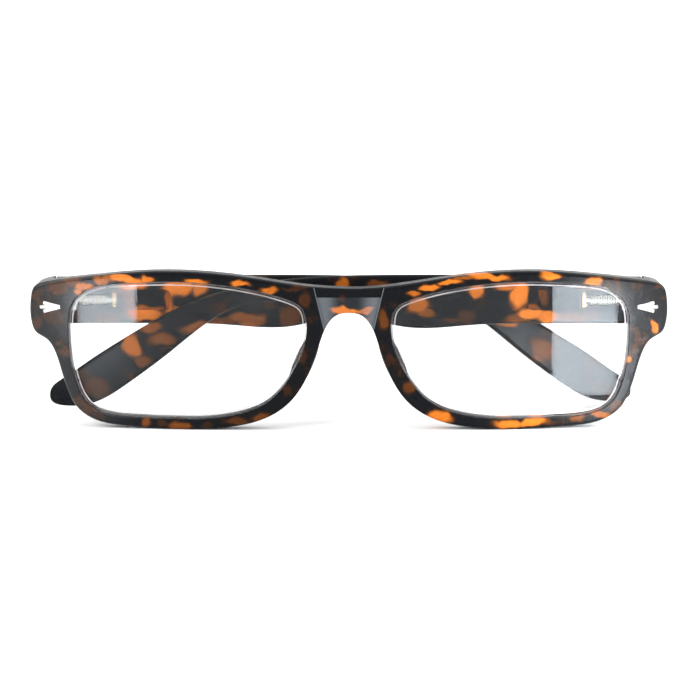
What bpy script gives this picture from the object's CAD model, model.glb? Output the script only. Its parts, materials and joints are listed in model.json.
"""Looks for the folded reading glasses: tortoiseshell plastic, clear lenses, plated hinges and springs."""

import json
import math

import bmesh
import bpy
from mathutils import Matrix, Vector


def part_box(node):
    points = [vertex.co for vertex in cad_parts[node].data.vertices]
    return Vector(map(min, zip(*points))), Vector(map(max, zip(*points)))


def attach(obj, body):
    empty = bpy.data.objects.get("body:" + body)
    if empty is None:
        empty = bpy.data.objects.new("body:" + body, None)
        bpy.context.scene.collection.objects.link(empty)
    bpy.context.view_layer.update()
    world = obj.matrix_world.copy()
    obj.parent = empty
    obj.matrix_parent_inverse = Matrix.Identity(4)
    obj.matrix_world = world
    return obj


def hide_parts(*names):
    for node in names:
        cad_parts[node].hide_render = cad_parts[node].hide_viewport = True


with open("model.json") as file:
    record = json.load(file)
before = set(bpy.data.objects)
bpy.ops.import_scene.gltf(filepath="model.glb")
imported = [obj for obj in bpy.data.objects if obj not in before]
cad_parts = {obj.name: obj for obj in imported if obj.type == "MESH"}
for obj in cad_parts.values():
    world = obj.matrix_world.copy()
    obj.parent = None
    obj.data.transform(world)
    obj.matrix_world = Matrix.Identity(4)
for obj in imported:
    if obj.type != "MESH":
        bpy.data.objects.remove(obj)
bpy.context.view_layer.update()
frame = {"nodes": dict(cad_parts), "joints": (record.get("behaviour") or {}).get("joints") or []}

MM = 0.001
SIDES = ("left", "right")

# Photographic set-up
CAMERA_DISTANCE = 450 * MM
CAMERA_ELEVATION = math.radians(10.5)
CAMERA_LENS = 107.0
AIM_HEIGHT = 17.9 * MM
AIM_ACROSS = 0.25 * MM

# Lenses
LENS_REFLECTANCE = 0.2        # share of the plain reflection left by the lens coating
EDGE_RINGS = ((0.45, 0.95), (1.2, 1.5))   # bright lines of the lens edge, in mm inwards from its bevel
EDGE_RING_LIFT = 0.04 * MM

# Depths of the pieces behind the face, in mm
FACE_RADIUS = 600.0
HINGE_X = 64.5
TEMPLE_DEPTH = 10.3
RIGHT_TEMPLE_SLOPE = 0.1426

# Coil springs
COIL_RADIUS = 1.08 * MM
WIRE_RADIUS = 0.21 * MM
COIL_LENGTH = 7.1 * MM
COIL_TURNS = 12
STEPS_PER_TURN = 28
WIRE_SIDES = 10
FACE_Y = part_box("front_frame")[0][1]   # the foremost point of the face

# Amber patches in the tortoiseshell: across, up, half width, half height, in millimetres from the middle
# of the face and the table, and how strong the amber is. They stand where they show in the plane of the
# face, and in_place() carries each one straight back to the piece that it is on.
FRONT_PATCHES = [
    (-62.5, 31.3, 2.6, 1.3, 0.45), (-59.5, 32.3, 2.4, 0.9, 0.5), (-56.8, 31.6, 2.2, 1, 0.8),
    (-57.8, 30.3, 1.3, 0.9, 0.8), (-53, 33.3, 2.4, 0.7, 0.75), (-47.5, 33.2, 4.4, 0.95, 1),
    (-43, 33.7, 1.6, 0.8, 0.95), (-33, 33.5, 2.6, 0.8, 1), (-23.6, 32.3, 2.2, 0.65, 1),
    (-17.4, 31.2, 2.4, 0.9, 0.9), (-11.5, 31.7, 2.6, 0.5, 0.4), (-64, 25.3, 2.6, 1.8, 0.36),
    (-67.6, 23.8, 1.4, 1.6, 0.4), (-61.2, 17.4, 1.7, 1, 0.42), (-44.2, 1.6, 1.4, 1.2, 0.62),
    (-40.5, 1.6, 1, 0.9, 0.4), (-36.8, 1.5, 2.6, 1.2, 0.66), (-30.5, 1.4, 1.2, 0.6, 0.35),
    (-24.5, 2.2, 3.2, 1, 0.5), (-19.3, 3.3, 2.2, 1.4, 0.6), (-55, 3.4, 2.6, 1, 0.3),
    (-10.2, 17, 1.3, 1.5, 0.42), (-9.4, 29.2, 1, 2, 0.45), (-1.2, 26.6, 3.2, 0.8, 0.98),
    (2.8, 26.5, 2.4, 0.6, 0.85), (7.3, 24.6, 1.6, 2.2, 0.58), (0.5, 24.9, 3, 0.7, 0.9),
    (13.8, 30.1, 1.8, 0.8, 0.85), (17.6, 31.5, 2.6, 0.8, 1), (21.6, 32.5, 2.4, 0.6, 1),
    (30, 33.7, 5.2, 0.85, 1), (24.6, 33.2, 2.6, 0.45, 0.75), (43.6, 33.9, 2.4, 0.85, 1),
    (53, 33.1, 2.2, 0.9, 0.9), (67, 31.8, 1.4, 0.7, 0.4), (62, 31.8, 1.6, 1.2, 0.3),
    (65.8, 23.2, 0.75, 1.7, 0.85), (60.3, 15.9, 1.3, 0.9, 0.8), (19.4, 3.2, 2.8, 1.5, 1),
    (34.5, 1.7, 3.6, 1.2, 1), (40.2, 1.9, 3.6, 1.2, 1), (49.8, 2.8, 1.8, 1.2, 0.62),
    (54.6, 3.9, 2.8, 0.9, 0.7), (58, 5.5, 1.6, 1.2, 0.42), (12.9, 9.8, 1.5, 1.4, 0.55),
    (8.6, 16, 1, 2, 0.34),
]
LEFT_TEMPLE_PATCHES = [
    (28, 31.3, 2, 2, 0.92), (36.6, 29.8, 2, 3, 0.98), (33.8, 31.9, 2.4, 0.9, 0.85),
    (39.2, 26, 3.2, 1.2, 0.95), (43.4, 25.2, 2.8, 1.2, 0.9), (36, 25, 2.6, 1, 0.6),
    (42.6, 29, 1.5, 2.2, 0.6), (48.5, 25, 3, 1, 0.55), (53, 31.5, 2.6, 1, 0.5),
    (15, 28.2, 2.6, 2.4, 0.85), (16.4, 25.8, 2, 1.2, 0.7), (22, 24.5, 2.2, 0.7, 0.45),
    (-1, 32.5, 1.3, 2, 0.85), (7, 32.2, 2.3, 1.2, 0.6), (-39.5, 20.6, 3.2, 1.5, 0.6),
    (-33, 23.2, 3.2, 1.2, 0.66), (-46.6, 19.2, 2.1, 3, 0.78), (-44.6, 15.6, 2, 1.5, 0.55),
    (-42.4, 23.3, 2.2, 1.5, 0.66), (-55, 10.4, 3, 2.4, 0.46), (-52.3, 8.4, 3, 1.4, 0.42),
    (-57.2, 12.6, 2, 1.5, 0.36), (-26.5, 25.6, 2.2, 1.2, 0.5), (-20, 30.3, 3.4, 0.9, 0.36),
    (-30.5, 30.2, 2, 1, 0.3),
]
RIGHT_TEMPLE_PATCHES = [
    (-46.6, 32, 2.7, 1.6, 0.98), (-49.4, 30.3, 2.2, 1.3, 0.62), (-36.8, 31.4, 3.4, 1.9, 1),
    (-39.2, 28.4, 1.3, 2.6, 0.92), (-32, 31.2, 2.1, 1.5, 0.95), (-44, 26, 4, 1.4, 1),
    (-37, 26.5, 2.2, 1.1, 0.75), (-47.6, 28.7, 1.5, 2, 0.66), (-40, 24.9, 3, 0.9, 0.85),
    (-52, 24.8, 3, 1.2, 0.5), (-22.6, 24.8, 4.4, 1.6, 0.72), (-12.5, 25.2, 2.2, 2.8, 0.58),
    (-29, 24.4, 3, 1, 0.66), (-55.5, 31.6, 2.4, 1, 0.55), (41.6, 18, 3, 2.5, 0.64), (34, 24, 3, 1, 0.8),
    (30.5, 24.5, 2.2, 0.8, 0.6), (44.8, 21.2, 1.6, 1.5, 0.36), (53, 15.2, 2.4, 2, 0.34),
    (-4, 28, 3, 1.8, 0.6), (6, 26, 3, 1.6, 0.5), (20, 28, 3.4, 1.8, 0.6), (61, 8.6, 1.6, 1.2, 0.2),
]


def front_depth(across):
    """How far the bent front lies behind its foremost point, in mm."""
    return FACE_RADIUS - math.sqrt(FACE_RADIUS**2 - across**2)


def left_temple_depth(across):
    """The left temple lies straight across, this far behind the face."""
    return TEMPLE_DEPTH


def right_temple_depth(across):
    """The right temple lies over the left one, so it slants away from its hinge."""
    return TEMPLE_DEPTH + RIGHT_TEMPLE_SLOPE * (across + HINGE_X)


def in_place(patches, depth):
    """The patches moved from the plane of the face to a piece that lies `depth` mm behind it."""
    distance = CAMERA_DISTANCE / MM
    rise, run = math.sin(CAMERA_ELEVATION), math.cos(CAMERA_ELEVATION)
    aim_across, aim_up = AIM_ACROSS / MM, AIM_HEIGHT / MM
    moved = []
    for across, up, half_width, half_height, strength in patches:
        behind = depth(across)
        growth = (distance + run * behind) / distance
        new_across = aim_across + (across - aim_across) * growth
        new_up = aim_up + (up - aim_up) * growth - behind * rise / run
        moved.append((new_across, new_up, half_width * growth, half_height * growth, strength))
    return moved


class Nodes:
    """A material's node tree, with short ways to add nodes and link them."""

    def __init__(self, name):
        self.material = bpy.data.materials.new(name)
        self.material.use_nodes = True
        self.tree = self.material.node_tree
        self.tree.nodes.clear()
        self.output = self.add("ShaderNodeOutputMaterial")

    def add(self, kind, settings=None, **inputs):
        node = self.tree.nodes.new(kind)
        for key, value in (settings or {}).items():
            setattr(node, key, value)
        for key, value in inputs.items():
            self.put(node, key, value)
        return node

    def put(self, node, key, value):
        """Sets an input, by name or by its number as i0, i1, to a value or to another node's output."""
        numbered = key[0] == "i" and key[1:].isdigit()
        socket = node.inputs[int(key[1:])] if numbered else node.inputs[key.replace("_", " ")]
        if isinstance(value, bpy.types.NodeSocket):
            self.tree.links.new(value, socket)
        else:
            socket.default_value = value

    def math(self, operation, first, second=0.0, clamp=False):
        settings = {"operation": operation, "use_clamp": clamp}
        return self.add("ShaderNodeMath", settings, i0=first, i1=second).outputs[0]

    def vector_math(self, operation, first, second):
        return self.add("ShaderNodeVectorMath", {"operation": operation}, i0=first, i1=second)

    def place(self):
        """Position in the object's own rest coordinates, in metres."""
        return self.add("ShaderNodeTexCoord").outputs["Object"]

    def noise(self, vector, scale, detail=3.0, roughness=0.5):
        return self.add("ShaderNodeTexNoise", Vector=vector, Scale=scale, Detail=detail, Roughness=roughness)

    def bump(self, height, strength, distance):
        node = self.add("ShaderNodeBump", Height=height, Strength=strength, Distance=distance)
        return node.outputs["Normal"]

    def mix_colour(self, factor, first, second):
        node = self.add("ShaderNodeMix", {"data_type": "RGBA"})
        self.put(node, "i0", factor)
        self.put(node, "i6", first)
        self.put(node, "i7", second)
        return node.outputs[2]

    def spread(self, value, low, high, to_low=0.0, to_high=1.0):
        node = self.add("ShaderNodeMapRange", {"interpolation_type": "SMOOTHSTEP"})
        for key, number in zip(("i0", "i1", "i2", "i3", "i4"), (value, low, high, to_low, to_high)):
            self.put(node, key, number)
        return node.outputs[0]

    def finish(self, shader):
        self.tree.links.new(shader, self.output.inputs["Surface"])
        return self.material


def amber_mask(nodes, place, patches):
    """How amber the plastic is: soft-edged blots with wandering outlines, 0 to 1."""
    wander = nodes.noise(place, 190.0, detail=2.5)
    centred = nodes.vector_math("SUBTRACT", wander.outputs["Color"], (0.5, 0.5, 0.5)).outputs[0]
    shift = nodes.add("ShaderNodeVectorMath", {"operation": "SCALE"}, i0=centred, Scale=4.2 * MM).outputs[0]
    moved = nodes.vector_math("ADD", place, shift).outputs[0]
    flat = nodes.vector_math("MULTIPLY", moved, (1.0, 0.0, 1.0)).outputs[0]
    mask = 0.0
    for across, up, half_width, half_height, strength in patches:
        offset = nodes.vector_math("SUBTRACT", flat, (across * MM, 0.0, up * MM)).outputs[0]
        scale = (1.0 / (half_width * MM), 1.0, 1.0 / (half_height * MM))
        scaled = nodes.vector_math("MULTIPLY", offset, scale).outputs[0]
        reach = nodes.add("ShaderNodeVectorMath", {"operation": "LENGTH"}, i0=scaled).outputs["Value"]
        blot = nodes.spread(reach, 1.5, 0.6, 0.0, strength)
        mask = nodes.math("MAXIMUM", mask, blot)
    return mask


def tortoiseshell(name, patches, facet=False):
    """Polished tortoiseshell plastic: charcoal with amber blots, cloudy depth and hairline scratches."""
    nodes = Nodes(name)
    place = nodes.place()
    mask = amber_mask(nodes, place, patches)

    cloud = nodes.noise(place, 150.0, detail=4.0, roughness=0.6).outputs["Fac"]
    haze = nodes.spread(cloud, 0.52, 0.68, 0.0, 0.42)
    depth = nodes.math("MAXIMUM", mask, haze)
    ramp = nodes.add("ShaderNodeValToRGB", Fac=depth)
    stops = ramp.color_ramp.elements
    stops[0].position, stops[0].color = 0.0, (0.004, 0.0045, 0.006, 1)
    stops[1].position, stops[1].color = 1.0, (0.56, 0.145, 0.014, 1)
    for position, colour in (
        (0.2, (0.0075, 0.0055, 0.005, 1)),
        (0.42, (0.034, 0.0125, 0.005, 1)),
        (0.65, (0.13, 0.038, 0.006, 1)),
        (0.85, (0.36, 0.095, 0.01, 1)),
    ):
        stop = stops.new(position)
        stop.color = colour
    fleck = nodes.noise(place, 900.0, detail=3.0).outputs["Fac"]
    mottle = nodes.spread(fleck, 0.3, 0.7, 0.82, 1.0)
    shaded = nodes.add("ShaderNodeVectorMath", {"operation": "SCALE"}, i0=ramp.outputs["Color"], Scale=mottle)
    colour = shaded.outputs[0]

    rub = nodes.noise(place, 420.0, detail=5.0, roughness=0.65).outputs["Fac"]
    roughness = nodes.spread(rub, 0.35, 0.75, 0.2, 0.34)
    gloss = 0.07
    if facet:
        split = nodes.add("ShaderNodeSeparateXYZ", Vector=place)
        side = nodes.math("ABSOLUTE", split.outputs["X"])
        gloss = nodes.spread(side, 42 * MM, 66 * MM, 0.07, 0.36)
        slope = nodes.math("MULTIPLY_ADD", split.outputs["Z"], 0.24)
        slope.node.inputs[2].default_value = 0.1 * MM
        inside = nodes.math("LESS_THAN", side, slope)
        flat = nodes.math("LESS_THAN", split.outputs["Y"], FACE_Y + 0.42 * MM)
        satin = nodes.math("MULTIPLY", inside, flat)
        roughness = nodes.math("MAXIMUM", roughness, nodes.math("MULTIPLY", satin, 0.34))
        towards_ends = nodes.spread(side, 1.6 * MM, 5.4 * MM, 0.03, 0.22)
        frost = nodes.math("MULTIPLY", satin, towards_ends)
        colour = nodes.mix_colour(frost, colour, (0.42, 0.47, 0.52, 1))

    stretched = nodes.vector_math("MULTIPLY", place, (900.0, 5200.0, 5200.0)).outputs[0]
    hairlines = nodes.noise(stretched, 1.0, detail=2.0).outputs["Fac"]
    waves = nodes.noise(place, 110.0, detail=1.0).outputs["Fac"]
    relief = nodes.math("ADD", nodes.math("MULTIPLY", hairlines, 0.06), waves)
    shader = nodes.add(
        "ShaderNodeBsdfPrincipled",
        Base_Color=colour,
        Roughness=roughness,
        Normal=nodes.bump(relief, 0.12, 0.06 * MM),
        Specular_IOR_Level=gloss,
    )
    return nodes.finish(shader.outputs[0])


def lens_clear(name):
    """Clear optical plastic: see-through with a coated, slightly cool reflection and a few dust specks."""
    nodes = Nodes(name)
    place = nodes.place()
    specks = nodes.add("ShaderNodeTexVoronoi", {"feature": "DISTANCE_TO_EDGE"}, Vector=place, Scale=260.0)
    grime = nodes.noise(place, 90.0, detail=4.0).outputs["Fac"]
    film = nodes.spread(grime, 0.45, 0.8, 0.0, 0.006)
    dust = nodes.spread(specks.outputs["Distance"], 0.0, 0.015, 0.003, 0.0)
    veil = nodes.math("ADD", film, dust)
    clear = nodes.add("ShaderNodeBsdfTransparent", Color=(0.985, 0.992, 0.996, 1))
    smear = nodes.spread(grime, 0.3, 0.8, 0.01, 0.05)
    waviness = nodes.bump(grime, 0.05, 0.02 * MM)
    gloss = nodes.add("ShaderNodeBsdfGlossy", Color=(0.93, 0.97, 1.0, 1), Roughness=smear, Normal=waviness)
    mirror = nodes.add("ShaderNodeFresnel", IOR=1.55)
    shine = nodes.math("MULTIPLY", mirror.outputs[0], LENS_REFLECTANCE)
    surface = nodes.add("ShaderNodeMixShader", Fac=shine, i1=clear.outputs[0], i2=gloss.outputs[0])
    matte = nodes.add("ShaderNodeBsdfDiffuse", Color=(0.9, 0.92, 0.95, 1))
    dusty = nodes.add("ShaderNodeMixShader", Fac=veil, i1=surface.outputs[0], i2=matte.outputs[0])
    return nodes.finish(dusty.outputs[0])


def metal(name, colour, roughness, brushing):
    """Plated metal with fine drawing marks and a little tarnish."""
    nodes = Nodes(name)
    place = nodes.place()
    stretched = nodes.vector_math("MULTIPLY", place, brushing).outputs[0]
    lines = nodes.noise(stretched, 1.0, detail=4.0, roughness=0.6).outputs["Fac"]
    tarnish = nodes.noise(place, 700.0, detail=4.0).outputs["Fac"]
    darker = tuple(0.72 * channel for channel in colour[:3]) + (1,)
    shade = nodes.mix_colour(nodes.spread(tarnish, 0.4, 0.75), colour, darker)
    gloss = nodes.spread(lines, 0.3, 0.7, roughness, roughness + 0.14)
    shader = nodes.add(
        "ShaderNodeBsdfPrincipled",
        Base_Color=shade,
        Metallic=1.0,
        Roughness=gloss,
        Normal=nodes.bump(lines, 0.15, 0.01 * MM),
    )
    return nodes.finish(shader.outputs[0])


def floor_paint():
    """Matte white sweep with a faint paper tooth."""
    nodes = Nodes("floor_white")
    place = nodes.place()
    tooth = nodes.noise(place, 300.0, detail=5.0).outputs["Fac"]
    tone = nodes.mix_colour(tooth, (0.9, 0.9, 0.9, 1), (0.93, 0.93, 0.935, 1))
    bump = nodes.bump(tooth, 0.05, 0.05 * MM)
    shader = nodes.add("ShaderNodeBsdfPrincipled", Base_Color=tone, Roughness=0.75, Normal=bump)
    return nodes.finish(shader.outputs[0])


def paint(node, material):
    """Gives a CAD node its finished material."""
    piece = frame["nodes"][node]
    if not piece.material_slots:
        piece.data.materials.append(material)
    for slot in piece.material_slots:
        slot.material = material


def new_object(name, mesh, material):
    """Turns finished bmesh data into a smooth-shaded object."""
    data = bpy.data.meshes.new(name)
    for face in mesh.faces:
        face.smooth = True
    mesh.to_mesh(data)
    mesh.free()
    data.materials.append(material)
    piece = bpy.data.objects.new(name, data)
    bpy.context.collection.objects.link(piece)
    return piece


def coil(side, material):
    """The coil spring round the stem, wound where the CAD sleeve stands."""
    node = f"{side}_spring"
    low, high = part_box(node)
    middle = (Vector(low) + Vector(high)) / 2
    slide = next(joint for joint in frame["joints"] if joint["name"] == f"{side}_spring_slide")
    axis = Vector(slide["axis"]).normalized()
    across = axis.cross(Vector((0, 0, 1))).normalized()
    up = across.cross(axis)
    mesh = bmesh.new()
    steps = COIL_TURNS * STEPS_PER_TURN
    rings = []
    for step in range(steps + 1):
        part = step / steps
        turn = 2 * math.pi * COIL_TURNS * part
        closed = 0.5 - 0.5 * math.cos(math.pi * min(1.0, 6 * min(part, 1 - part)))
        along = (part - 0.5) * (COIL_LENGTH - 2 * WIRE_RADIUS) * (0.985 + 0.015 * closed)
        outwards = across * math.cos(turn) + up * math.sin(turn)
        centre = middle + axis * along + outwards * COIL_RADIUS
        ring = []
        for corner in range(WIRE_SIDES):
            angle = 2 * math.pi * corner / WIRE_SIDES
            offset = outwards * math.cos(angle) + axis * math.sin(angle)
            ring.append(mesh.verts.new(centre + offset * WIRE_RADIUS))
        rings.append(ring)
    for ring, following in zip(rings, rings[1:]):
        for corner in range(WIRE_SIDES):
            after = (corner + 1) % WIRE_SIDES
            mesh.faces.new((ring[corner], ring[after], following[after], following[corner]))
    mesh.faces.new(reversed(rings[0]))
    mesh.faces.new(rings[-1])
    bmesh.ops.recalc_face_normals(mesh, faces=mesh.faces)
    piece = new_object(f"{side}_coil", mesh, material)
    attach(piece, f"{side}_temple")
    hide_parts(node)


def hull(points):
    """The convex outline round flat points, anticlockwise."""
    points = sorted(set(points))
    outline = []
    for row in (points, points[::-1]):
        chain = []
        for point in row:
            while len(chain) > 1:
                first, second = Vector(chain[-2]), Vector(chain[-1])
                if (second - first).cross(Vector(point) - second) > 0:
                    break
                chain.pop()
            chain.append(point)
        outline += chain[:-1]
    return [Vector(point) for point in outline]


def inset(outline, distance):
    """A convex outline moved inwards along its corners' normals."""
    moved = []
    for index, point in enumerate(outline):
        before, after = outline[index - 1], outline[(index + 1) % len(outline)]
        along = (point - before).normalized() + (after - point).normalized()
        inwards = Vector((-along.y, along.x)).normalized()
        moved.append(point + inwards * distance)
    return moved


def edge_rings(side, material):
    """The pale double line where light leaves the edge of a lens, just inside the rim."""
    lens = frame["nodes"][f"{side}_lens"]
    corners = [lens.matrix_world @ vertex.co for vertex in lens.data.vertices]
    outline = hull([(round(corner.x, 6), round(corner.z, 6)) for corner in corners])
    into_lens = lens.matrix_world.inverted()
    direction = (into_lens.to_3x3() @ Vector((0, 1, 0))).normalized()
    mesh = bmesh.new()
    for edges in EDGE_RINGS:
        outer, inner = [], []
        for loop, distance in ((outer, edges[0]), (inner, edges[1])):
            for flat in inset(outline, distance * MM):
                start = into_lens @ Vector((flat.x, FACE_Y - 20 * MM, flat.y))
                _, place, _, _ = lens.ray_cast(start, direction)
                loop.append(mesh.verts.new(lens.matrix_world @ place - Vector((0, EDGE_RING_LIFT, 0))))
        for index, corner in enumerate(outer):
            after = (index + 1) % len(outer)
            mesh.faces.new((corner, outer[after], inner[after], inner[index]))
    piece = new_object(f"{side}_lens_edge", mesh, material)
    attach(piece, "front")


def edge_glow(name):
    """Polished lens edge: pale, slightly rosy and partly see-through."""
    nodes = Nodes(name)
    place = nodes.place()
    streaks = nodes.noise(place, 200.0, detail=3.0).outputs["Fac"]
    strength = nodes.spread(streaks, 0.3, 0.7, 0.4, 0.75)
    clear = nodes.add("ShaderNodeBsdfTransparent")
    pale = nodes.add("ShaderNodeBsdfPrincipled", Base_Color=(0.5, 0.455, 0.45, 1), Roughness=0.35)
    mixed = nodes.add("ShaderNodeMixShader", Fac=strength, i1=clear.outputs[0], i2=pale.outputs[0])
    return nodes.finish(mixed.outputs[0])


def finish_materials():
    """Every carried-over CAD node gets its own finish."""
    paint("front_frame", tortoiseshell("tortoise_front", in_place(FRONT_PATCHES, front_depth), facet=True))
    left_patches = in_place(LEFT_TEMPLE_PATCHES, left_temple_depth)
    right_patches = in_place(RIGHT_TEMPLE_PATCHES, right_temple_depth)
    paint("left_temple", tortoiseshell("tortoise_left_temple", left_patches))
    paint("right_temple", tortoiseshell("tortoise_right_temple", right_patches))
    clear = lens_clear("clear_lens")
    silver = metal("silver_trim", (0.5, 0.485, 0.45, 1), 0.26, (4000.0, 4000.0, 500.0))
    steel = metal("hinge_steel", (0.5, 0.49, 0.47, 1), 0.3, (6000.0, 6000.0, 700.0))
    bright = metal("bright_steel", (0.6, 0.42, 0.2, 1), 0.22, (700.0, 5000.0, 5000.0))
    wire = metal("spring_steel", (0.6, 0.55, 0.48, 1), 0.24, (1500.0, 5000.0, 5000.0))
    glow = edge_glow("lens_edge")
    for side in SIDES:
        paint(f"{side}_lens", clear)
        edge_rings(side, glow)
        paint(f"{side}_trim", silver)
        paint(f"{side}_spring_stop", bright)
        for piece in ("front_hinge", "hinge_screw", "hinge_washers", "hinge_tongue", "spring_guide"):
            paint(f"{side}_{piece}", steel)
        coil(side, wire)


def add_floor():
    """A pale sweep: a flat floor that curves up into a backdrop well behind the glasses."""
    near, far, half, rise, radius = -1.2, 2.2, 3.0, 2.4, 0.8
    bends = 16
    profile = [(near, 0.0), (far - radius, 0.0)]
    for step in range(1, bends + 1):
        angle = 0.5 * math.pi * step / bends
        profile.append((far - radius + radius * math.sin(angle), radius - radius * math.cos(angle)))
    profile.append((far, rise))
    mesh = bmesh.new()
    rows = [[mesh.verts.new((x, y, z)) for x in (-half, half)] for y, z in profile]
    for row, following in zip(rows, rows[1:]):
        mesh.faces.new((row[0], row[1], following[1], following[0]))
    new_object("floor", mesh, floor_paint())


def add_light(name, place, aim, size, power, colour=(1, 1, 1)):
    """A rectangular soft light that shows in reflections but not to the camera."""
    data = bpy.data.lights.new(name, "AREA")
    data.shape = "RECTANGLE"
    data.size, data.size_y = size
    data.energy = power
    data.color = colour
    light = bpy.data.objects.new(name, data)
    bpy.context.collection.objects.link(light)
    light.visible_camera = False
    light.location = place
    light.rotation_euler = (Vector(aim) - Vector(place)).to_track_quat("-Z", "Y").to_euler()


def add_lights():
    """Soft studio light: a bright surround, panels overhead and to the sides, and two low bright cards."""
    world = bpy.data.worlds.new("studio")
    bpy.context.scene.world = world
    world.use_nodes = True
    background = world.node_tree.nodes["Background"]
    background.inputs["Color"].default_value = (1.0, 1.0, 1.0, 1)
    background.inputs["Strength"].default_value = 1.05
    add_light("overhead", (0.0, 0.1, 0.9), (0, 0, 0.02), (1.0, 0.8), 7.0)
    add_light("key", (-0.6, -0.5, 0.6), (0, 0, 0.02), (0.5, 0.5), 3.0, (1.0, 0.98, 0.95))
    add_light("window", (0.7, -0.35, 0.35), (0, 0, 0.02), (0.3, 0.5), 1.6, (0.94, 0.97, 1.0))
    card_y = FACE_Y - 30 * MM
    cool = (0.9, 0.95, 1.0)
    add_light("right_card", (0.0615, card_y, 0.0135), (0.0615, 0, 0.0135), (0.017, 0.026), 0.037, cool)
    add_light("left_card", (-0.063, card_y, 0.0215), (-0.063, 0, 0.0215), (0.0155, 0.011), 0.011, cool)


def add_camera():
    """A long lens a little above the glasses, square to the face."""
    data = bpy.data.cameras.new("camera")
    data.lens = CAMERA_LENS
    data.clip_start = 0.01
    camera = bpy.data.objects.new("camera", data)
    bpy.context.collection.objects.link(camera)
    aim = Vector((AIM_ACROSS, FACE_Y, AIM_HEIGHT))
    back = Vector((0, -math.cos(CAMERA_ELEVATION), math.sin(CAMERA_ELEVATION)))
    camera.location = aim + back * CAMERA_DISTANCE
    camera.rotation_euler = (-back).to_track_quat("-Z", "Y").to_euler()
    bpy.context.scene.camera = camera


add_camera()
finish_materials()
add_floor()
add_lights()
bpy.context.scene.view_settings.view_transform = "Standard"
